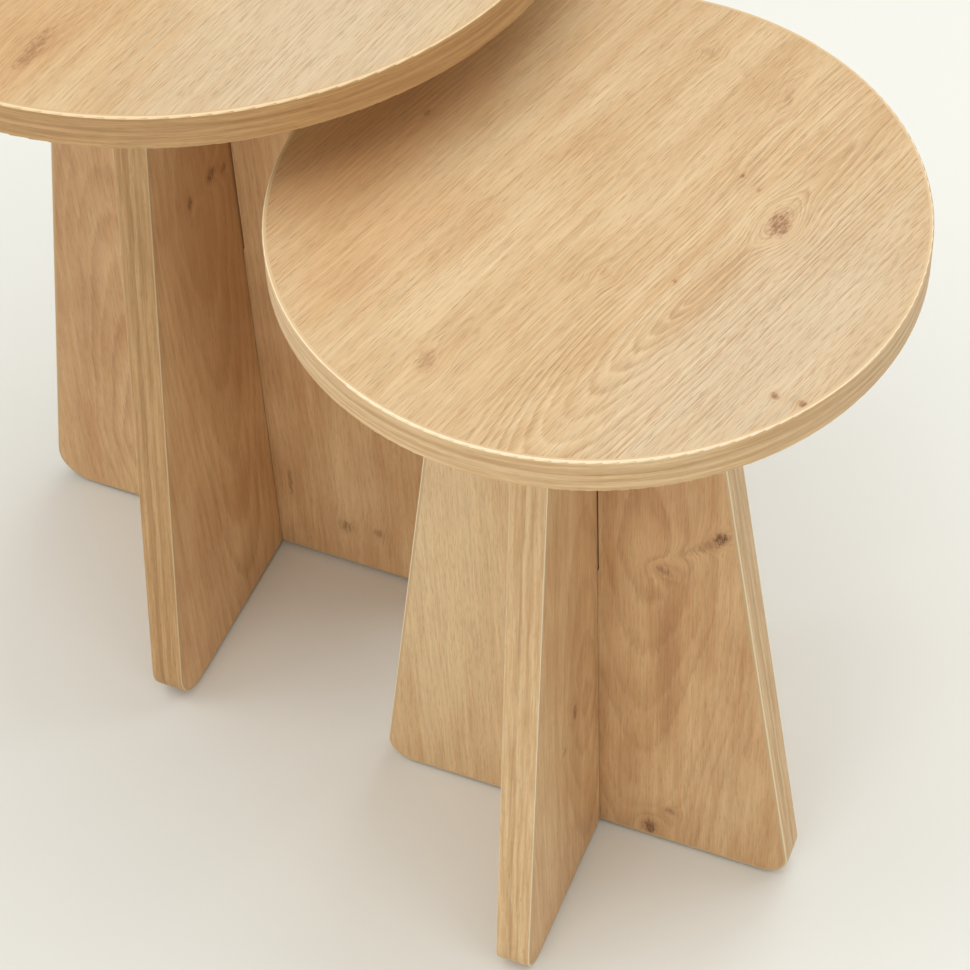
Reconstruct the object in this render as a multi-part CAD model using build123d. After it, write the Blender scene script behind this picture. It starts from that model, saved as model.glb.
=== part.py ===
from build123d import *
from dataclasses import dataclass
from math import hypot
import os

# A pair of round nesting side tables. Each is a board top on a cross of two tapered leg panels, which are
# halved into each other. Millimetres, +Z up. The origin is on the floor under the middle of the pair. +X
# points from the high table to the low one, and is the way that the low table slides out.

# Boards and their edges
BOARD = 19.0  # thickness of every board
BAND = 2.0  # thickness of the edge band
ARRIS = 1.0  # radius along both edges of the band

# The halving joint between two leg panels
SLOT_PLAY = 1.6  # how much wider the slot is than the board in it
SLOT_ROOT = 3.0  # radius in the corners of the slot's end
SLOT_END_GAP = 3.0  # height left free between the ends of the two slots

# Cam fittings and dowels, which fasten the leg panels under the top
FIT = 0.05  # radial play of a fitting in its hole
CAM_RADIUS = 7.5
CAM_DEPTH = 12.5
CAM_DROP = 34.0  # from the panel's top edge down to the cam's middle
CAM_CROSS = (7.0, 1.2, 2.5)  # length, width and depth of the cross in the cam's face
BOLT_BORE = 4.0  # radius of the bore from the panel's top edge to the cam
BOLT_THREAD = (2.95, 11.0)  # radius and length of the stretch in the top
BOLT_SHANK = (3.5, 25.0)
BOLT_NECK = 2.0  # radius between shank and head
BOLT_HEAD = (32.0, 36.5)  # where the head starts and ends, below the panel's top edge
DOWEL_RADIUS = 4.0
DOWEL_IN_TOP = 11.0
DOWEL_IN_PANEL = 19.0
DOWEL_CHAMFER = 1.0

# Glides under the ends of the leg panels
GLIDE_HEIGHT = 2.5
GLIDE_RADIUS = 7.0
GLIDE_ROUND = 1.0
GLIDE_INSET = 28.0  # from the panel's lower end to the glide's middle
NAIL_RADIUS = 1.0
NAIL_LENGTH = 16.0  # from the glide's upper face
NAIL_HEAD = (3.0, 0.8)
NAIL_HEAD_BASE = 1.0  # plastic under the nail's head

# The cams are let in from the faces that look away from the front quarter, between +X and -Y.
FACE_SIDES = {"a": 1, "b": -1}

# How the pair stands. Its overall length is centred on the origin.
LARGE_DIAMETER = 400.0
SMALL_DIAMETER = 300.0
TABLE_SPACING = 284.0  # between the middles of the two tops
PAIR_MIDDLE = (LARGE_DIAMETER - SMALL_DIAMETER) / 4


@dataclass
class Table:
    name: str
    diameter: float
    height: float
    neck_width: float  # of a leg panel, under the top
    foot_width: float  # of a leg panel, at its lower edge
    corner: float  # radius of a leg panel's lower corners
    centre_x: float
    turn: float  # direction of panel A, in degrees from +X
    base_shift: tuple  # how far the cross stands off the middle of its top
    cam_reach: float  # from the middle of a panel out to its cams
    dowel_reach: float

    @property
    def underside(self):
        return self.height - BOARD

    @property
    def halving_height(self):
        return (GLIDE_HEIGHT + self.underside) / 2


large = Table(
    name="large",
    diameter=LARGE_DIAMETER,
    height=523.0,
    neck_width=146.0,
    foot_width=290.0,
    corner=20.0,
    centre_x=PAIR_MIDDLE - TABLE_SPACING / 2,
    turn=24.0,
    base_shift=(0.0, 0.0),
    cam_reach=52.0,
    dowel_reach=28.0,
)
small = Table(
    name="small",
    diameter=SMALL_DIAMETER,
    height=468.0,
    neck_width=119.0,
    foot_width=242.0,
    corner=15.0,
    centre_x=PAIR_MIDDLE + TABLE_SPACING / 2,
    turn=25.0,
    base_shift=(-4.5, -5.2),
    cam_reach=42.0,
    dowel_reach=24.0,
)


def upright(face, thickness):
    """Stands a flat outline up in the XZ plane and gives it thickness, half to each side."""
    return extrude(Plane.XZ * face, amount=thickness / 2, both=True)


def panel_outline(table, inset):
    """A leg panel's outline, drawn in from its banded edges by inset."""
    rise = table.underside - GLIDE_HEIGHT
    lean = (table.foot_width - table.neck_width) / 2 / rise
    sideways = inset * hypot(1, lean)
    neck = table.neck_width / 2 - sideways
    foot = table.foot_width / 2 - sideways - lean * inset
    bottom = GLIDE_HEIGHT + inset
    top = table.underside
    outline = make_face(Polyline((-neck, top), (-foot, bottom), (foot, bottom), (neck, top), close=True))
    return fillet(outline.vertices().group_by(Axis.Y)[0], table.corner - inset)


def slot(table, from_top):
    """The slot that lets the other leg panel in, open at the top edge or at the foot."""
    if from_top:
        low, high = table.halving_height - SLOT_END_GAP / 2, table.height
    else:
        low, high = 0.0, table.halving_height + SLOT_END_GAP / 2
    outline = Pos(0, (low + high) / 2) * Rectangle(BOARD + SLOT_PLAY, high - low)
    closed_end = outline.vertices().group_by(Axis.Y)[0 if from_top else -1]
    return upright(fillet(closed_end, SLOT_ROOT), 2 * BOARD)


def rod(radius, low, high):
    """An upright cylinder between two heights."""
    return Pos(0, 0, (low + high) / 2) * Cylinder(radius, high - low)


def both_sides(shape, reach):
    """Copies of a shape at the same distance to each side of a panel's middle."""
    return [Pos(side * reach, 0, 0) * shape for side in (-1, 1)]


def cam_disc(table, face_side, play):
    """A cam disc's outer shape, let in from the panel's face on face_side (1 is +Y, -1 is -Y)."""
    depth = CAM_DEPTH + play
    middle = Pos(0, face_side * (BOARD - depth) / 2, table.underside - CAM_DROP)
    return middle * Rot(90, 0, 0) * Cylinder(CAM_RADIUS + play, depth)


def cam(table, face_side):
    """A cam disc with the pocket for the bolt's head and a cross to turn it by."""
    middle_height = table.underside - CAM_DROP
    pocket = rod(BOLT_BORE, middle_height - BOLT_BORE, table.underside)
    length, width, depth = CAM_CROSS
    cross = Box(length, 2 * depth, width) + Box(width, 2 * depth, length)
    return cam_disc(table, face_side, 0) - pocket - Pos(0, face_side * BOARD / 2, middle_height) * cross


def cam_bolt(table):
    """A bolt that is screwed up into the top and hangs into its cam."""
    thread, in_top = BOLT_THREAD
    shank, shank_end = BOLT_SHANK
    head_start, head_end = BOLT_HEAD
    screwed_in = [(0, in_top), (thread, in_top), (thread, 0)]
    hanging = [(shank, 0), (shank, -shank_end), (BOLT_NECK, -shank_end - 1), (BOLT_NECK, -head_start)]
    head = [(shank, -head_start - 1), (shank, -head_end + 1), (BOLT_NECK, -head_end), (0, -head_end)]
    profile = make_face(Polyline(*screwed_in, *hanging, *head, close=True))
    return Pos(0, 0, table.underside) * revolve(Plane.XZ * profile, Axis.Z)


def dowel(table, play):
    """A wooden dowel, part in the top and part in the panel, or with play the hole that it needs."""
    low, high = table.underside - DOWEL_IN_PANEL, table.underside + DOWEL_IN_TOP
    body = rod(DOWEL_RADIUS + play, low - play, high + play)
    if play:
        return body
    return chamfer(body.edges().filter_by(GeomType.CIRCLE), DOWEL_CHAMFER)


def nail(play):
    """The nail in a glide, or with play the hole that it needs."""
    head_radius, head_thickness = NAIL_HEAD
    head_top = NAIL_HEAD_BASE + head_thickness
    head = rod(head_radius + play, NAIL_HEAD_BASE - play, head_top + play)
    return head + rod(NAIL_RADIUS + play, head_top, GLIDE_HEIGHT + NAIL_LENGTH + play)


def glide():
    """A plastic foot with its lower rim rounded."""
    disc = rod(GLIDE_RADIUS, 0, GLIDE_HEIGHT)
    disc = fillet(disc.edges().filter_by(GeomType.CIRCLE).sort_by(Axis.Z)[0], GLIDE_ROUND)
    return disc - nail(FIT)


def glide_reach(table):
    """From the middle of a leg panel out to its glides."""
    return table.foot_width / 2 - GLIDE_INSET


def panel_bores(table, face_side):
    """Every hole in one leg panel and its band, for cams, bolts, dowels and nails."""
    cam_hole = cam_disc(table, face_side, FIT)
    bolt_hole = rod(BOLT_BORE, table.underside - CAM_DROP - BOLT_BORE, table.height)
    fittings = both_sides(cam_hole + bolt_hole, table.cam_reach)
    dowel_holes = both_sides(dowel(table, FIT), table.dowel_reach)
    return fittings + dowel_holes + both_sides(nail(FIT), glide_reach(table))


def leg_panel(table, from_top, face_side):
    """The board of a leg panel, without its edge band."""
    return upright(panel_outline(table, BAND), BOARD) - slot(table, from_top) - panel_bores(table, face_side)


def panel_band(table, from_top, face_side):
    """The edge band of a leg panel: down its sides, round its lower corners and along its foot."""
    block = upright(panel_outline(table, 0), BOARD)
    face_edges = [edge for edge in block.edges() if abs(edge.center().Y) > BOARD / 2 - ARRIS]
    banded = [edge for edge in face_edges if edge.center().Z < table.underside - ARRIS]
    rounded = fillet(banded, ARRIS)
    inside = upright(panel_outline(table, BAND), 2 * BOARD)
    return rounded - inside - slot(table, from_top) - panel_bores(table, face_side)


def top_board(table):
    """The round board of the top, with blind holes in its underside."""
    disc = Pos(table.centre_x, 0, 0) * rod(table.diameter / 2 - BAND, table.underside, table.height)
    thread, in_top = BOLT_THREAD
    bolt_hole = rod(thread + FIT, table.underside - 1, table.underside + in_top + FIT)
    holes = both_sides(bolt_hole, table.cam_reach) + both_sides(dowel(table, FIT), table.dowel_reach)
    return disc - [place(hole, table, panel) for hole in holes for panel in ("a", "b")]


def top_band(table):
    """The edge band round the top, with both of its edges rounded."""
    outer = rod(table.diameter / 2, table.underside, table.height)
    outer = fillet(outer.edges().filter_by(GeomType.CIRCLE), ARRIS)
    ring = outer - rod(table.diameter / 2 - BAND, 0, 2 * table.height)
    return Pos(table.centre_x, 0, 0) * ring


def place(shape, table, panel):
    """Moves a shape from a panel's own frame to where that panel stands."""
    turn = table.turn if panel == "a" else table.turn - 90
    shift_x, shift_y = table.base_shift
    return Pos(table.centre_x + shift_x, shift_y, 0) * Rot(0, 0, turn) * shape


def on_both_panels(table, make):
    """One group of identical pieces, two on each leg panel. make gives a panel's pair from its face side."""
    pieces = [place(piece, table, panel) for panel, side in FACE_SIDES.items() for piece in make(side)]
    return Compound([piece.solid() for piece in pieces])


def table_nodes(table):
    """Every node of one table, by name."""
    nodes = {"top_board": top_board(table), "top_edge_band": top_band(table)}
    for panel, from_top in (("a", True), ("b", False)):
        side = FACE_SIDES[panel]
        bands = "edge_band" if from_top else "edge_bands"
        nodes[f"leg_panel_{panel}"] = place(leg_panel(table, from_top, side), table, panel)
        nodes[f"panel_{panel}_{bands}"] = place(panel_band(table, from_top, side), table, panel)
    reach = glide_reach(table)
    nodes["cams"] = on_both_panels(table, lambda side: both_sides(cam(table, side), table.cam_reach))
    nodes["cam_bolts"] = on_both_panels(table, lambda side: both_sides(cam_bolt(table), table.cam_reach))
    nodes["dowels"] = on_both_panels(table, lambda side: both_sides(dowel(table, 0), table.dowel_reach))
    nodes["glides"] = on_both_panels(table, lambda side: both_sides(glide(), reach))
    nodes["glide_nails"] = on_both_panels(table, lambda side: both_sides(nail(0), reach))
    return {f"{table.name}_{name}": shape for name, shape in nodes.items()}


os.makedirs("parts", exist_ok=True)
for name, shape in (table_nodes(large) | table_nodes(small)).items():
    export_step(shape, f"parts/{name}.step")
    print(name, "solids", len(shape.solids()), "volume", round(shape.volume))
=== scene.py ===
# %% [markdown]
# # A pair of nesting side tables in oak board
# The real pair is a high round table and a low one that slides in under it. Each is a round board on a
# cross of two tapered leg panels, halved into each other. The shapes come ready made from the CAD model,
# exact to a tenth of a millimetre, so this lesson leaves them alone and works on what a CAD model lacks:
# the oak print, the edge bands, the fittings' metals and plastics, the light and the camera.

# %% Load the pair
from dataclasses import dataclass
from math import cos, pi, radians, sin

import bpy
from mathutils import Matrix, Vector


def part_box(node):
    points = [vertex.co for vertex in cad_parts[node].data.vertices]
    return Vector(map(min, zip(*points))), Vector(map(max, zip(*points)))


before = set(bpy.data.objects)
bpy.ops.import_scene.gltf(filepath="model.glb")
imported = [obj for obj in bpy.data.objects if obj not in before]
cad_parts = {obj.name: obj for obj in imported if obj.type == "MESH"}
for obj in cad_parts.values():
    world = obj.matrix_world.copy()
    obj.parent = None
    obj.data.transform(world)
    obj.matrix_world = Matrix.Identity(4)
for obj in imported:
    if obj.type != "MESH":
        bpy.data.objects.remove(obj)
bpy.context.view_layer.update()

MM = 0.001

# %% [markdown]
# ## The camera
# The view is from high up at the low table's side, through a long lens, so upright edges lean only a
# little. A camera is aimed by a turn about the vertical, a tilt down and a small roll. Building its axes
# from those three angles is easier to reason about than Euler angles, whose order matters.

# %% Stand the camera
LENS = 112.74
CAMERA_PLACE = Vector((0.8672, -0.6774, 1.4237))
CAMERA_TURN = radians(49.272)
CAMERA_TILT = radians(49.575)
CAMERA_ROLL = radians(3.115)

camera_data = bpy.data.cameras.new("camera")
camera_data.lens = LENS
camera_data.clip_end = 50.0
camera = bpy.data.objects.new("camera", camera_data)
bpy.context.scene.collection.objects.link(camera)
level_camera = Matrix.Rotation(CAMERA_TURN, 4, "Z") @ Matrix.Rotation(pi / 2 - CAMERA_TILT, 4, "X")
camera.matrix_world = Matrix.Translation(CAMERA_PLACE) @ level_camera @ Matrix.Rotation(-CAMERA_ROLL, 4, "Z")
bpy.context.scene.camera = camera
camera_distance = (CAMERA_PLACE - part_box("small_top_board")[1]).length
print("The camera stands", round(camera_distance, 2), "m from the low top")

# %% [markdown]
# ## Arithmetic on sockets
# A wood pattern is mostly sums: distances, ratios and soft steps. Wiring them by hand hides the formula,
# so this small class wraps one socket of a material and lets Python's own operators add the Math nodes.
# The reflected forms, such as `__rsub__`, are what make `1 - mask` work.

# %% A socket that does sums
class Signal:
    """A number that varies over a surface: the output socket of a node."""

    def __init__(self, recipe, socket):
        self.recipe = recipe
        self.socket = socket

    def math(self, operation, *others):
        return self.recipe.node("Math", {"operation": operation}, dict(enumerate((self, *others))))

    def __add__(self, other):
        return self.math("ADD", other)

    def __sub__(self, other):
        return self.math("SUBTRACT", other)

    def __rsub__(self, other):
        return self * -1.0 + other

    def __mul__(self, other):
        return self.math("MULTIPLY", other)

    def __truediv__(self, other):
        return self.math("DIVIDE", other)

    def __pow__(self, other):
        return self.math("POWER", other)

    def __neg__(self):
        return self * -1.0

    def __abs__(self):
        return self.math("ABSOLUTE")

    __radd__ = __add__
    __rmul__ = __mul__


# %% [markdown]
# ## A recipe for one material
# Every finish below is written as a recipe: a new material, its shader, and one method that adds any
# node. The method takes the node's type, its settings, and what goes into its sockets, and it sets the
# settings first because some of them change which sockets the node has.

# %% The recipe class
class Recipe:
    """One material, and the nodes that make it."""

    def __init__(self, name):
        self.material = bpy.data.materials.new(name)
        self.material.use_nodes = True
        self.tree = self.material.node_tree
        self.shader = self.tree.nodes["Principled BSDF"]
        self.position = self.node("TexCoord", output="Object")
        self.facing = self.node("TexCoord", output="Normal")

    def node(self, kind, settings=None, inputs=None, output=0):
        made = self.tree.nodes.new("ShaderNode" + kind)
        for name, value in (settings or {}).items():
            setattr(made, name, value)
        self.fill(made, inputs or {})
        return Signal(self, made.outputs[output])

    def fill(self, made, inputs):
        """Gives sockets their values, or links them to signals."""
        for name, value in inputs.items():
            if isinstance(value, Signal):
                self.tree.links.new(value.socket, made.inputs[name])
            else:
                made.inputs[name].default_value = value

    def finish(self, **inputs):
        """Sets the shader's own sockets, whose names have spaces where these have underscores."""
        self.fill(self.shader, {name.replace("_", " "): value for name, value in inputs.items()})
        return self.material


# %% [markdown]
# ## Soft steps, noise and colour
# Three tools do most of the work. A soft step turns any number into a mask from 0 to 1. Noise squeezed
# across the grain and drawn out along it gives fibres, pores and streaks. Colours are written as a screen
# shows them and turned into the linear light that shaders work in.

# %% Soft steps and stretched noise
THROUGH = 50  # mm. Patches longer than any board is thick, so a print is the same all through it


def soft_step(signal, low, high):
    """0 below low and 1 above high, smooth in between. If low is the larger, it falls instead of rising."""
    settings = {"interpolation_type": "SMOOTHSTEP"}
    return signal.recipe.node("MapRange", settings, {"Value": signal, "From Min": low, "From Max": high})


def stretched_noise(places, size, seed, detail=2.0, roughness=0.5):
    """Random values about 0.5, in patches of size mm along the grain, across it and through the board."""
    recipe = places[0].recipe
    along, across, through = (place / length for place, length in zip(places, size))
    spot = recipe.node("CombineXYZ", inputs={0: along + seed, 1: across, 2: through + seed})
    settings = {"Vector": spot, "Scale": 1.0, "Detail": detail, "Roughness": roughness}
    return recipe.node("TexNoise", inputs=settings)


def square(signal):
    return signal * signal


# %% Colours
SCREEN_WHITE = 255
SCREEN_CURVE = 2.4
SCREEN_TOE = 0.055  # lifts the darkest tones


def tint(red, green, blue):
    """A colour as a screen shows it, turned into linear light."""
    lifted = [(part / SCREEN_WHITE + SCREEN_TOE) / (1 + SCREEN_TOE) for part in (red, green, blue)]
    return (*(part**SCREEN_CURVE for part in lifted), 1.0)


def mix_colours(recipe, amount, start, end):
    """start where amount is 0, end where it is 1."""
    return recipe.node("Mix", {"data_type": "RGBA"}, {0: amount, 6: start, 7: end}, output=2)


def shade(recipe, colour, light):
    """A colour made lighter or darker by a number."""
    grey = recipe.node("CombineColor", inputs={0: light, 1: light, 2: light})
    settings = {"data_type": "RGBA", "blend_type": "MULTIPLY"}
    return recipe.node("Mix", settings, {0: 1.0, 6: colour, 7: grey}, output=2)


# %% [markdown]
# ## Where a point lies on a board
# A print follows its board, not the room, so each board gets its own axes: along the grain, across it and
# through the thickness. A dot product with an axis is the distance along it. The positions are the ones
# at rest, so the grain travels with the low table when it slides.

# %% Board axes
EAST = Vector((1, 0, 0))
NORTH = Vector((0, 1, 0))
UP = Vector((0, 0, 1))
ON_THE_FLOOR = EAST + NORTH


def dot(recipe, places, direction):
    return recipe.node("VectorMath", {"operation": "DOT_PRODUCT"}, {0: places, 1: direction}, "Value")


def reach(recipe, start, direction):
    """Distance in mm from start along a direction."""
    return dot(recipe, recipe.position, direction / MM) - start.dot(direction) / MM


def board_places(recipe, start, grain, side):
    return [reach(recipe, start, axis) for axis in (grain, side, grain.cross(side))]


def middle(node):
    low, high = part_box(node)
    return (low + high) / 2


def broad_face(node):
    """Direction that a board's largest flat faces look in."""
    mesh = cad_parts[node].data
    return max(mesh.polygons, key=lambda face: face.area).normal.copy()


# %% [markdown]
# ## The oak print
# The boards are chipboard under a printed oak film. The print shows plain-sawn oak: nested arches where
# the saw ran near the pith, straight lines beside them. Cutting a model trunk gives both at once. Each
# ring is a cylinder about the pith, and the pith dips below the board's face, so a ring meets the face as
# an arch. Knots push the rings aside and close them into loops.

# %% Knots
PARTING = 0.6  # how far the grain is spread apart at a knot's middle, as a share


@dataclass
class Knot:
    """A knot, placed in mm from the board's middle."""

    along: float
    across: float
    length: float  # of the dark heart, along the grain
    width: float  # across it
    rings: float = 1.0  # how many rings it pushes aside, outwards if below 0
    dark: float = 0.8
    lean: float = 0.0  # mm that the heart shifts across for each mm along
    spread: float = 2.2  # reach of the rings, in hearts
    bulge: float = 1.0  # how much wider the rings spread sideways


def knot_distance(places, knot, length, width):
    """Distance from a knot's middle, squared. It is 1 on an oval of that half length and width."""
    along = places[0] - knot.along
    across = places[1] - knot.across - along * knot.lean
    return square(along / length) + square(across / width)


def knot_hills(places, knots):
    """For each knot a hill, 1 in its middle and 0 beyond its rings."""
    hills = []
    for knot in knots:
        width = knot.width * knot.spread * knot.bulge
        distance = knot_distance(places, knot, knot.length * knot.spread, width)
        hills.append((-distance).math("EXPONENT"))
    return hills


def bend_round_knots(places, knots):
    """Board places with the grain parted round each knot, as water parts round a stone."""
    along, across, through = places
    bent = across
    for knot, hill in zip(knots, knot_hills(places, knots)):
        bent = bent - (across - knot.across) * hill * PARTING
    return along, bent, through


# %% Rings
PITH_WANDER = 16  # mm that the trunk bends across the board, from side to side
GOOD_YEARS = 5.0  # mm of radius for each radian of the swing between wide and narrow rings
PITH_CORE = 14  # mm either side of the pith where the lines are boldest
PITH_REACH = 60  # mm either side of the pith beyond which they are faintest


@dataclass
class Trunk:
    """Where the pith runs, seen from the board."""

    across: float  # of the pith, in mm from the board's middle
    along: float  # where the pith comes nearest to the face
    depth: float  # of the pith under the face there
    dip: float  # mm that it sinks for each mm along the grain, below that place
    rise: float  # the same, above that place
    ring: float  # width of a ring


def ring_share(places, trunk, knots, seed):
    """How far through its ring a point lies, from 0 to 1, and how strong that ring is."""
    recipe = places[0].recipe
    wander = stretched_noise(places, (150, 60, THROUGH), seed, detail=1.0) - 0.5
    ragged = stretched_noise(places, (20, 1.4, THROUGH), seed + 3, detail=2.0) - 0.5
    across = places[1] + wander * PITH_WANDER - trunk.across
    beyond = places[0] - trunk.along
    above = soft_step(beyond, -25, 25)
    depth = abs(beyond) * (above * (trunk.rise - trunk.dip) + trunk.dip) + trunk.depth
    radius = (square(across) + square(depth)) ** 0.5
    for knot, hill in zip(knots, knot_hills(places, knots)):
        radius = radius + hill * (knot.rings * trunk.ring)
    good_years = (radius / GOOD_YEARS).math("SINE")
    count = (radius + good_years + ragged * trunk.ring * 0.5) / trunk.ring
    year = recipe.node("TexWhiteNoise", {"noise_dimensions": "1D"}, {"W": count.math("FLOOR") + seed})
    near_pith = soft_step(square(across), PITH_REACH**2, PITH_CORE**2)
    return count.math("FRACT"), (year * 0.8 + 0.2) * (near_pith * 0.55 + 0.45)


# %% [markdown]
# ## Pores, fibres and tone
# Oak is open-pored: short dark dashes, a few tenths of a millimetre wide, all along the grain and densest
# in the late lines. Finer fibres and broad streaks of cream and tan lie over them. Each is the same noise
# at another size, so the print keeps some detail at any distance.

# %% Colours of an oak print
@dataclass
class Oak:
    """Colours and strengths of one oak print."""

    pale: tuple
    tan: tuple
    late: tuple  # of the dark line that ends a ring
    early: tuple  # of the pale line that starts the next
    pore: tuple
    heart: tuple  # of the knots
    halo: tuple  # round the knots
    line_strength: float
    pore_strength: float
    fibre_strength: float


# %% Hearts of the knots
def knot_hearts(places, knots, seed):
    """Mask of the dark middles of the knots, with ragged edges."""
    ragged = stretched_noise(places, (4.0, 1.3, THROUGH), seed + 11, detail=3.0, roughness=0.65) - 0.5
    total = 0.0
    for knot in knots:
        heart = soft_step(knot_distance(places, knot, knot.length, knot.width) + ragged * 5.0, 1.4, -0.5)
        total = heart * knot.dark + total
    return total


# %% Tone patches: stains, painted shade and painted sheen
@dataclass
class TonePatch:
    """A long patch of another tone, placed in mm from the board's middle. Most are stains in the print; on
    the tops some are painted shade and painted sheen.
    """

    along: float
    across: float
    length: float
    width: float
    colour: tuple
    strength: float


def tone_patch_mask(places, tone_patch, streaks):
    """The patch, with edges feathered along the grain."""
    along = (places[0] - tone_patch.along) / tone_patch.length
    across = (places[1] - tone_patch.across) / tone_patch.width
    distance = square(along) + square(across)
    return soft_step(distance + (streaks - 0.5) * 1.2, 1.5, -0.2) * tone_patch.strength


# %% The whole print
HALO_STRENGTH = 0.55


def oak_colour(recipe, places, oak, trunk, knots, tone_patches, seed):
    """The printed oak: its colour, and the height of its pressed grain."""
    share, strength = ring_share(places, trunk, knots, seed)
    late = soft_step(share, 0.4, 0.9) * soft_step(share, 1.0, 0.92) * strength
    early = soft_step(share, 0.0, 0.08) * soft_step(share, 0.4, 0.1) * strength
    parted = bend_round_knots(places, knots)
    streaks = stretched_noise(parted, (150, 6, THROUGH), seed + 21, detail=3.0, roughness=0.6)
    patches = stretched_noise(parted, (60, 26, THROUGH), seed + 31, detail=3.0)
    fibres = stretched_noise(parted, (38, 0.95, THROUGH), seed + 41, detail=2.0, roughness=0.6)
    dashes = stretched_noise(parted, (9, 0.5, THROUGH), seed + 51, detail=1.0, roughness=0.6)
    tone = soft_step(streaks * 0.5 + patches * 0.5, 0.3, 0.7)
    pores = soft_step(dashes + late * 0.08 + (patches - 0.5) * 0.12, 0.56, 0.7)
    colour = mix_colours(recipe, tone, oak.pale, oak.tan)
    # Tone patches: stains in the print, and on the tops also painted shade and painted sheen.
    for tone_patch in tone_patches:
        colour = mix_colours(recipe, tone_patch_mask(parted, tone_patch, streaks), colour, tone_patch.colour)
    colour = mix_colours(recipe, late * oak.line_strength, colour, oak.late)
    colour = mix_colours(recipe, early * oak.line_strength, colour, oak.early)
    colour = mix_colours(recipe, pores * oak.pore_strength, colour, oak.pore)
    colour = shade(recipe, colour, fibres * oak.fibre_strength + (1 - oak.fibre_strength / 2))
    for knot, hill in zip(knots, knot_hills(places, knots)):
        colour = mix_colours(recipe, square(hill) * (HALO_STRENGTH * knot.dark), colour, oak.halo)
    colour = mix_colours(recipe, knot_hearts(places, knots, seed), colour, oak.heart)
    return colour, fibres * 0.6 - pores


# %% [markdown]
# ## Chipboard where a board is cut
# Only the broad faces carry the film. In the slots of the halving joint and in the fitting bores the saw
# has opened the board, and pressed chips show. Which is which follows from the direction a face looks in:
# the film looks straight out of the board, a cut looks sideways.

# %% Chipboard
def chip_colour(recipe):
    """Pressed chips: small patches, each its own tone."""
    inputs = {"Vector": recipe.position, "Scale": 420.0, "Randomness": 1.0}
    chips = recipe.node("TexVoronoi", {"feature": "F1", "voronoi_dimensions": "3D"}, inputs, "Color")
    tone = recipe.node("SeparateColor", inputs={0: chips})
    return mix_colours(recipe, tone, tint(158, 124, 86), tint(214, 182, 138))


def film_mask(recipe, face):
    """1 on the broad faces of a board, 0 where it is cut."""
    return soft_step(abs(dot(recipe, recipe.facing, face)), 0.7, 0.9)


# %% Board material
FILM_GLOSS = 0.4
PRINT_RELIEF = 0.15 * MM


def board_material(name, start, grain, side, oak, trunk, knots, tone_patches, seed):
    recipe = Recipe(name)
    places = board_places(recipe, start, grain, side)
    print_colour, relief = oak_colour(recipe, places, oak, trunk, knots, tone_patches, seed)
    film = film_mask(recipe, grain.cross(side))
    colour = mix_colours(recipe, film, chip_colour(recipe), print_colour)
    bump = recipe.node("Bump", inputs={"Height": relief * film, "Strength": 0.5, "Distance": PRINT_RELIEF})
    roughness = 0.5 - relief * 0.06 + (1 - film) * 0.3
    return recipe.finish(Base_Color=colour, Roughness=roughness, Normal=bump, Specular_IOR_Level=FILM_GLOSS)


def wear(node, material):
    """Gives a CAD node its finish."""
    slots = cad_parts[node].material_slots
    slots[0].material = material
    print(node, "wears", material.name)


# %% [markdown]
# ## The two tops
# The low top is the piece that the eye lands on. Its grain runs nearly square to the way the table
# slides. The arches lie right of the middle and open towards the largest knot, so the pith comes up to
# the face there and dips away on both sides. Darker and paler patches keep the board from looking like
# wallpaper, and some carry painted light: on the low top's side under the high top, darker patches are
# painted shade over the print, and on both tops paler, greyer patches are a painted sheen where they are
# lit. The high top is cut from another place in the same print.

# %% Print for the tops
OAK_TOP = Oak(
    pale=tint(207, 180, 138),
    tan=tint(192, 156, 110),
    late=tint(162, 120, 76),
    early=tint(220, 196, 157),
    pore=tint(158, 120, 80),
    heart=tint(128, 84, 52),
    halo=tint(184, 138, 90),
    line_strength=0.35,
    pore_strength=0.45,
    fibre_strength=0.46,
)
# A deeper, redder print tone, also used as painted shade on the low top under the high top.
DEEP_TONE_AND_SHADE = tint(186, 134, 82)
# Paler and greyer: a painted sheen where the tops are lit.
PALE_PAINTED_SHEEN = tint(200, 180, 149)
BROWNED = tint(184, 146, 100)

# %% Knots, stains, painted shade and painted sheen of the low top
SMALL_TOP_TURN = radians(8)
SMALL_TOP_KNOTS = [
    Knot(along=41, across=71, length=9, width=5.2, rings=-4.5, dark=0.85, lean=-0.15, spread=1.6, bulge=1.5),
    Knot(along=-117, across=-2, length=7, width=5, rings=1.5, dark=0.4, lean=-0.3, spread=1.5),
    Knot(along=56, across=40, length=1.6, width=1.4, rings=0.3, dark=0.8),
    Knot(along=53, across=51, length=1.6, width=1.4, rings=0.3, dark=0.6),
    Knot(along=-15, across=55, length=1.4, width=1.2, rings=0.3, dark=0.7),
    Knot(along=-44, across=129, length=1.8, width=2.2, rings=0.3, dark=0.8),
    Knot(along=-41, across=141, length=1.8, width=2.6, rings=0.3, dark=0.9),
    Knot(along=112, across=26, length=6, width=3, rings=1.0, dark=0.35, lean=-0.4),
    Knot(along=114, across=-21, length=3, width=4, rings=1.0, dark=0.2),
    Knot(along=3, across=-101, length=2.4, width=1.6, rings=0.5, dark=0.55),
    Knot(along=-30, across=28, length=3, width=4, rings=1.0, dark=0.2),
]
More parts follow.
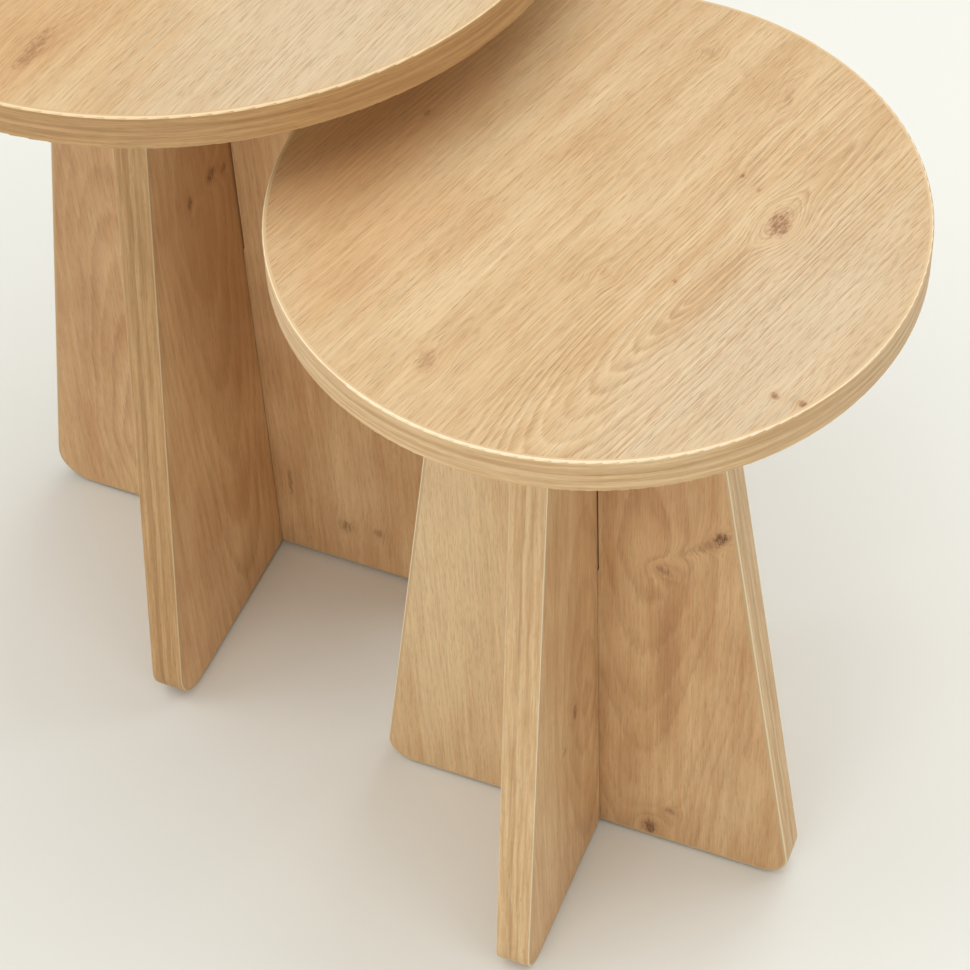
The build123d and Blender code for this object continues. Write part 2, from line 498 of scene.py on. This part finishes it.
SMALL_TOP_TONE_PATCHES = [
    # Painted shade over the print: two darker, warmer patches on the side under the high top, deepest near
    # its rim.
    TonePatch(along=-10, across=-112, length=100, width=36, colour=DEEP_TONE_AND_SHADE, strength=0.8),
    TonePatch(along=-80, across=-66, length=60, width=20, colour=DEEP_TONE_AND_SHADE, strength=0.4),
    # Painted sheen: paler and greyer towards the lit end, away from the high top.
    TonePatch(along=-25, across=112, length=120, width=52, colour=PALE_PAINTED_SHEEN, strength=0.75),
    TonePatch(along=-15, across=70, length=44, width=9, colour=BROWNED, strength=0.7),
    TonePatch(along=95, across=68, length=44, width=12, colour=BROWNED, strength=0.5),
    TonePatch(along=95, across=12, length=60, width=12, colour=BROWNED, strength=0.4),
]
small_trunk = Trunk(across=69, along=-15, depth=0.5, dip=0.19, rise=0.05, ring=2.5)
print("The low top has", len(SMALL_TOP_KNOTS), "knots and", len(SMALL_TOP_TONE_PATCHES), "tone_patches")

# %% Knots, stains and painted sheen of the high top
LARGE_TOP_TURN = radians(14)
LARGE_TOP_KNOTS = [
    Knot(along=-158, across=36, length=16, width=4, rings=3, dark=0.6, lean=-0.1),
    Knot(along=70, across=-60, length=7, width=5, rings=3, dark=0.7),
]
LARGE_TOP_TONE_PATCHES = [
    TonePatch(along=-140, across=-20, length=110, width=80, colour=DEEP_TONE_AND_SHADE, strength=0.4),
    # Painted sheen: paler and greyer over the top's right side.
    TonePatch(along=-60, across=140, length=180, width=70, colour=PALE_PAINTED_SHEEN, strength=0.8),
]
large_trunk = Trunk(across=-60, along=60, depth=12, dip=0.12, rise=0.05, ring=2.3)
print("The high top has", len(LARGE_TOP_KNOTS), "knots and", len(LARGE_TOP_TONE_PATCHES), "tone_patches")


# %% Film on the tops
def top_material(table, turn, trunk, knots, tone_patches, seed):
    grain = Vector((-sin(turn), cos(turn), 0))
    side = Vector((cos(turn), sin(turn), 0))
    start = middle(f"{table}_top_edge_band")
    return board_material(f"oak_film_{table}_top", start, grain, side, OAK_TOP, trunk, knots, tone_patches, seed)


small_film = top_material("small", SMALL_TOP_TURN, small_trunk, SMALL_TOP_KNOTS, SMALL_TOP_TONE_PATCHES, seed=5)
large_film = top_material("large", LARGE_TOP_TURN, large_trunk, LARGE_TOP_KNOTS, LARGE_TOP_TONE_PATCHES, seed=105)
wear("small_top_board", small_film)
wear("large_top_board", large_film)

# %% [markdown]
# ## The leg panels
# The panels wear the same film with the grain upright, as a cabinet maker would lay it. They were cut
# from other sheets and stand in the tops' shade, so their print is a little redder and deeper. Each has
# its own trunk and knots, because two boards that match look like a copy.

# %% Print for the legs
OAK_LEGS = Oak(
    pale=tint(226, 188, 138),
    tan=tint(202, 155, 106),
    late=tint(164, 116, 72),
    early=tint(230, 198, 152),
    pore=tint(160, 114, 74),
    heart=tint(106, 66, 40),
    halo=tint(172, 120, 76),
    line_strength=0.24,
    pore_strength=0.24,
    fibre_strength=0.42,
)
LEG_DEEP = tint(170, 116, 70)
LEG_WASHED = tint(231, 203, 157)
PANEL_KNOTS = {
    ("small", "a"): [
        Knot(along=278, across=74, length=5, width=3.5, rings=2, dark=0.85, lean=0.4),
        Knot(along=268, across=66, length=12, width=5, rings=1, dark=0.3, lean=1.0, spread=1.2),
        Knot(along=240, across=45, length=4, width=4, rings=2, dark=0.5),
        Knot(along=10, across=39, length=7, width=4, rings=2, dark=0.85),
        Knot(along=31, across=51, length=3, width=3, rings=0.8, dark=0.5),
    ],
    ("small", "b"): [
        Knot(along=149, across=44, length=7, width=3, rings=2, dark=0.8),
        Knot(along=133, across=60, length=3, width=3, rings=0.7, dark=0.4),
    ],
    ("large", "a"): [
        Knot(along=36, across=55, length=5, width=5, rings=2, dark=0.5),
        Knot(along=38, across=76, length=4, width=4, rings=1, dark=0.4),
        Knot(along=64, across=20, length=14, width=1.2, rings=0.6, dark=0.5),
    ],
    ("large", "b"): [
        Knot(along=329, across=32, length=4, width=5, rings=1.5, dark=0.8),
        Knot(along=322, across=19, length=4, width=3, rings=1, dark=0.5),
        Knot(along=330, across=56, length=4, width=2.4, rings=1, dark=0.85),
    ],
}
PANEL_TRUNKS = {
    ("small", "a"): Trunk(across=35, along=250, depth=40, dip=0.09, rise=0.06, ring=3.4),
    ("small", "b"): Trunk(across=30, along=140, depth=34, dip=0.1, rise=0.08, ring=3.6),
    ("large", "a"): Trunk(across=-70, along=60, depth=46, dip=0.08, rise=0.08, ring=3.4),
    ("large", "b"): Trunk(across=50, along=320, depth=40, dip=0.07, rise=0.07, ring=3.8),
}
PANEL_STAINS = {
    ("small", "a"): [
        TonePatch(along=165, across=48, length=75, width=8, colour=LEG_DEEP, strength=0.6),
        TonePatch(along=340, across=30, length=80, width=40, colour=LEG_DEEP, strength=0.5),
        TonePatch(along=60, across=75, length=90, width=30, colour=LEG_WASHED, strength=0.2),
        TonePatch(along=220, across=-75, length=260, width=60, colour=LEG_WASHED, strength=0.85),
    ],
    ("small", "b"): [
        TonePatch(along=150, across=44, length=90, width=12, colour=LEG_DEEP, strength=0.4),
        TonePatch(along=120, across=80, length=120, width=40, colour=LEG_WASHED, strength=0.25),
    ],
    ("large", "a"): [
        TonePatch(along=60, across=60, length=70, width=26, colour=LEG_WASHED, strength=0.3),
        TonePatch(along=230, across=100, length=90, width=30, colour=LEG_WASHED, strength=0.3),
        TonePatch(along=230, across=-110, length=200, width=40, colour=LEG_DEEP, strength=0.35),
    ],
    ("large", "b"): [TonePatch(along=300, across=35, length=150, width=45, colour=LEG_DEEP, strength=0.5)],
}


def panel_side(node):
    """Direction along a leg panel, towards +X."""
    face = broad_face(node)
    side = Vector((-face.y, face.x, 0)).normalized()
    return side if side.x > 0 else -side


for number, (table, panel) in enumerate(PANEL_KNOTS):
    node = f"{table}_leg_panel_{panel}"
    start = middle(node) * ON_THE_FLOOR
    key = (table, panel)
    features = (PANEL_TRUNKS[key], PANEL_KNOTS[key], PANEL_STAINS[key])
    name = f"oak_film_{table}_panel_{panel}"
    wear(node, board_material(name, start, UP, panel_side(node), OAK_LEGS, *features, 205 + 37 * number))

# %% [markdown]
# ## The edge bands
# The band is a 2 mm strip glued round the cut edges, printed with grain along its length. It has a pale
# stripe in the middle between two darker lines, and its rounded arrises are painted paler: a painted
# highlight.
# Its coordinates are the length along the edge and the height across it. Round the tops the length is the
# angle times the radius. On the panels it is the height on the sides, and the distance sideways along the
# foot.

# %% Print for the bands
@dataclass
class Band:
    """Colours of one table's edge band."""

    pale: tuple
    tan: tuple
    dark: tuple
    # painted highlight on the rounded arrises
    painted_arris_highlight: tuple
    rim: tuple  # of the flat edge beside the film


BANDS = {
    "small": Band(
        pale=tint(226, 194, 147),
        tan=tint(206, 165, 115),
        dark=tint(166, 122, 76),
        painted_arris_highlight=tint(238, 218, 182),
        rim=tint(205, 176, 133),
    ),
    "large": Band(
        pale=tint(202, 162, 112),
        tan=tint(180, 138, 88),
        dark=tint(144, 100, 57),
        painted_arris_highlight=tint(228, 202, 160),
        rim=tint(200, 169, 125),
    ),
}


def band_finish(recipe, band, along, height, across_edge, seed):
    """The band's print from a place along it and a height from its middle line, both in mm."""
    places = (along, height, along * 0.0)
    wave = (stretched_noise(places, (55, 40, THROUGH), seed, detail=2.0) - 0.5) * 5.0
    level = height + wave
    streaks = stretched_noise(places, (60, 2.2, THROUGH), seed + 7, detail=3.0, roughness=0.65)
    fibres = stretched_noise(places, (24, 0.8, THROUGH), seed + 11, detail=2.0, roughness=0.6)
    dashes = stretched_noise(places, (7, 0.45, THROUGH), seed + 13, detail=1.0)
    upper = soft_step(level, 6.5, 1.4) * soft_step(level, 0.6, 1.4)
    lower = soft_step(level, -5.0, -2.0) * soft_step(level, -1.0, -2.0)
    stripe = soft_step(level, -1.6, -0.4) * soft_step(level, 1.4, 0.4)
    colour = mix_colours(recipe, soft_step(streaks, 0.3, 0.7), band.pale, band.tan)
    colour = mix_colours(recipe, (upper * 0.7 + lower * 0.45) * streaks, colour, band.dark)
    colour = mix_colours(recipe, stripe * 0.35, colour, band.pale)
    colour = mix_colours(recipe, soft_step(dashes, 0.56, 0.72) * 0.35, colour, band.dark)
    colour = shade(recipe, colour, fibres * 0.4 + 0.8)
    # Which way the band faces picks its colour: the rounded arrises get a painted highlight, paler than the
    # band, and the flat edge beside the film gets the rim colour.
    flat = abs(dot(recipe, recipe.facing, across_edge))
    colour = mix_colours(recipe, soft_step(flat, 0.45, 0.72), colour, band.painted_arris_highlight)
    colour = mix_colours(recipe, soft_step(flat, 0.94, 0.99), colour, band.rim)
    pressed = {"Height": fibres - dashes, "Strength": 0.25, "Distance": PRINT_RELIEF}
    bump = recipe.node("Bump", inputs=pressed)
    roughness = 0.46 + streaks * 0.12
    return recipe.finish(Base_Color=colour, Roughness=roughness, Normal=bump, Specular_IOR_Level=FILM_GLOSS)


# %% Bands round the tops
def round_band(table, seed):
    recipe = Recipe(f"oak_band_{table}_top")
    node = f"{table}_top_edge_band"
    start = middle(node)
    low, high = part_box(node)
    radius = (high.y - low.y) / 2 / MM
    x, y, height = (reach(recipe, start, axis) for axis in (EAST, NORTH, UP))
    angle = recipe.node("Math", {"operation": "ARCTAN2"}, {0: y, 1: x})
    return band_finish(recipe, BANDS[table], angle * radius, height, UP, seed)


for number, table in enumerate(("large", "small")):
    wear(f"{table}_top_edge_band", round_band(table, 400 + 50 * number))

# %% Bands round the leg panels
def panel_band(table, panel, seed):
    recipe = Recipe(f"oak_band_{table}_panel_{panel}")
    board = f"{table}_leg_panel_{panel}"
    side = panel_side(board)
    start = middle(board) * ON_THE_FLOOR
    across_edge = side.cross(UP)
    sideways, up, height = (reach(recipe, start, axis) for axis in (side, UP, across_edge))
    down = recipe.node("SeparateXYZ", inputs={0: recipe.facing}, output="Z")
    on_foot = soft_step(down, -0.6, -0.8)
    along = up * (1 - on_foot) + sideways * on_foot
    return band_finish(recipe, BANDS[table], along, height, across_edge, seed)


for number, (table, panel) in enumerate(PANEL_KNOTS):
    bands = "edge_band" if panel == "a" else "edge_bands"
    wear(f"{table}_panel_{panel}_{bands}", panel_band(table, panel, 500 + 50 * number))

# %% [markdown]
# ## Fittings, dowels and glides
# What holds the tables together is mostly out of sight. The cam discs are die-cast zinc with a grainy
# skin, the cam bolts are plated steel with fine turning marks, the dowels are bare ribbed beech and the
# glides are matt plastic with scuffed faces. Each is one noise in its own proportions, mixed into colour
# and roughness.

# %% Metals
CAST_RELIEF = 0.1 * MM


def room_places(recipe, *axes):
    """Places in mm along the room's axes, with the one that the pattern is drawn out along first."""
    return [reach(recipe, Vector(), axis) for axis in axes]


def metal(name, dull, bright, grain_size, roughness):
    recipe = Recipe(name)
    places = room_places(recipe, UP, EAST, NORTH)
    cast = stretched_noise(places, grain_size, 3.0, detail=4.0, roughness=0.65)
    tone_patches = stretched_noise(places, (9, 9, 9), 17.0, detail=2.0)
    colour = mix_colours(recipe, soft_step(cast * 0.6 + tone_patches * 0.4, 0.35, 0.65), dull, bright)
    bump = recipe.node("Bump", inputs={"Height": cast, "Strength": 0.3, "Distance": CAST_RELIEF})
    rough = cast * 0.25 + (roughness - 0.125)
    return recipe.finish(Base_Color=colour, Metallic=1.0, Roughness=rough, Normal=bump)


cast_zinc = metal("cast_zinc", tint(138, 138, 136), tint(186, 187, 186), (0.6, 0.6, 0.6), 0.48)
plated_steel = metal("plated_steel", tint(150, 150, 146), tint(205, 206, 204), (0.3, 4, 4), 0.32)
nail_wire = metal("nail_wire", tint(146, 146, 148), tint(210, 210, 212), (6, 0.5, 0.5), 0.3)
print("Metals:", cast_zinc.name, plated_steel.name, nail_wire.name)

# %% Beech and glide plastic
BARE_GLOSS = 0.35


def beech_material():
    recipe = Recipe("bare_beech")
    places = room_places(recipe, UP, EAST, NORTH)
    flecks = stretched_noise(places, (2.2, 0.35, 0.35), 29.0, detail=2.0)
    tone = stretched_noise(places, (14, 2, 2), 37.0, detail=2.0)
    colour = mix_colours(recipe, tone, tint(226, 192, 146), tint(202, 162, 116))
    colour = mix_colours(recipe, soft_step(flecks, 0.58, 0.72) * 0.6, colour, tint(160, 116, 78))
    bump = recipe.node("Bump", inputs={"Height": flecks, "Strength": 0.35, "Distance": CAST_RELIEF})
    roughness = 0.6 + tone * 0.15
    return recipe.finish(Base_Color=colour, Roughness=roughness, Normal=bump, Specular_IOR_Level=BARE_GLOSS)


def glide_material():
    recipe = Recipe("scuffed_plastic")
    places = room_places(recipe, EAST, NORTH, UP)
    scuffs = stretched_noise(places, (3.5, 0.4, 2), 43.0, detail=3.0)
    pebble = stretched_noise(places, (0.35, 0.35, 0.35), 51.0, detail=2.0)
    colour = mix_colours(recipe, soft_step(scuffs, 0.4, 0.7), tint(176, 168, 154), tint(150, 141, 126))
    bump = recipe.node("Bump", inputs={"Height": pebble, "Strength": 0.3, "Distance": CAST_RELIEF})
    roughness = 0.5 + scuffs * 0.2
    return recipe.finish(Base_Color=colour, Roughness=roughness, Normal=bump, Specular_IOR_Level=BARE_GLOSS)


beech = beech_material()
plastic = glide_material()
for table in ("large", "small"):
    wear(f"{table}_cams", cast_zinc)
    wear(f"{table}_cam_bolts", plated_steel)
    wear(f"{table}_dowels", beech)
    wear(f"{table}_glides", plastic)
    wear(f"{table}_glide_nails", nail_wire)

# %% [markdown]
# ## The floor
# The pair stands on a pale floor, wide enough that no edge of it shows from above. Its two tints are so
# close that they only keep it from looking like paper.

# %% Floor
FLOOR_HALF = 12.0
FLOOR_GLOSS = 0.2


def floor_material():
    recipe = Recipe("pale_floor")
    clouds = recipe.node("TexNoise", inputs={"Vector": recipe.position, "Scale": 3.0, "Detail": 3.0})
    colour = mix_colours(recipe, clouds, tint(230, 231, 224), tint(236, 237, 230))
    return recipe.finish(Base_Color=colour, Roughness=0.7 + clouds * 0.1, Specular_IOR_Level=FLOOR_GLOSS)


corners = [(x * FLOOR_HALF, y * FLOOR_HALF, 0.0) for x, y in ((-1, -1), (1, -1), (1, 1), (-1, 1))]
floor_mesh = bpy.data.meshes.new("floor")
floor_mesh.from_pydata(corners, [], [(0, 1, 2, 3)])
floor = bpy.data.objects.new("floor", floor_mesh)
bpy.context.scene.collection.objects.link(floor)
floor_mesh.materials.append(floor_material())
print("The floor is", 2 * FLOOR_HALF, "m square")

# %% [markdown]
# ## The light
# Soft light comes from all round, most of it from above. The ceiling panel is twice as wide as any other
# lamp, so shadows under the tops fade slowly. The smaller lamps differ in strength, which keeps the two
# sides of each leg apart. The surround lights weakly but shows pale, so a low view isn't backed by a dark
# room.

# %% Surround
SURROUND = 0.3
BACKDROP = 0.85
WARM_WHITE = (1.0, 0.985, 0.96, 1.0)

surround = bpy.data.worlds.new("surround")
surround.use_nodes = True
world_tree = surround.node_tree
light_path = world_tree.nodes.new("ShaderNodeLightPath")
seen = world_tree.nodes.new("ShaderNodeMapRange")
seen.inputs["To Min"].default_value = SURROUND
seen.inputs["To Max"].default_value = BACKDROP
world_tree.links.new(light_path.outputs["Is Camera Ray"], seen.inputs["Value"])
background = world_tree.nodes["Background"]
background.inputs["Color"].default_value = WARM_WHITE
world_tree.links.new(seen.outputs["Result"], background.inputs["Strength"])
bpy.context.scene.world = surround
print("The surround lights with", SURROUND, "and shows as", BACKDROP)

# %% Lamps
LAMP_AIM = Vector((0.0, 0.0, 0.25))


@dataclass
class Lamp:
    """A round lamp that faces the tables. Metres and watts."""

    name: str
    place: tuple
    size: float
    watts: float


def hang(lamp):
    data = bpy.data.lights.new(lamp.name, "AREA")
    data.shape = "DISK"
    data.size = lamp.size
    data.energy = lamp.watts
    made = bpy.data.objects.new(lamp.name, data)
    made.location = lamp.place
    made.rotation_mode = "QUATERNION"
    made.rotation_quaternion = (LAMP_AIM - Vector(lamp.place)).to_track_quat("-Z", "Y")
    bpy.context.scene.collection.objects.link(made)
    print(lamp.name, "is", lamp.size, "m across and gives", lamp.watts, "W")


hang(Lamp("ceiling_panel", place=(0.0, 0.0, 3.2), size=3.6, watts=67))
hang(Lamp("back_lamp", place=(-0.6, 1.8, 2.2), size=1.6, watts=13))
hang(Lamp("right_lamp", place=(1.2, 2.0, 2.4), size=1.6, watts=13))
hang(Lamp("low_lamp", place=(0.7, -1.7, 0.9), size=1.2, watts=8))
hang(Lamp("left_lamp", place=(-1.3, -1.5, 1.6), size=1.6, watts=11))
hang(Lamp("near_lamp", place=(2.1, 0.0, 1.6), size=1.6, watts=7))

# %% [markdown]
# ## Colours on the screen
# Blender's usual view transform rolls bright tones off softly, which would grey the pale oak and the floor.
# The standard one shows each colour as the shaders and the light give it, so the tints above mean what
# they say.

# %% View transform
view = bpy.context.scene.view_settings
view.view_transform = "Standard"
view.look = "None"
print("The view transform is", view.view_transform)
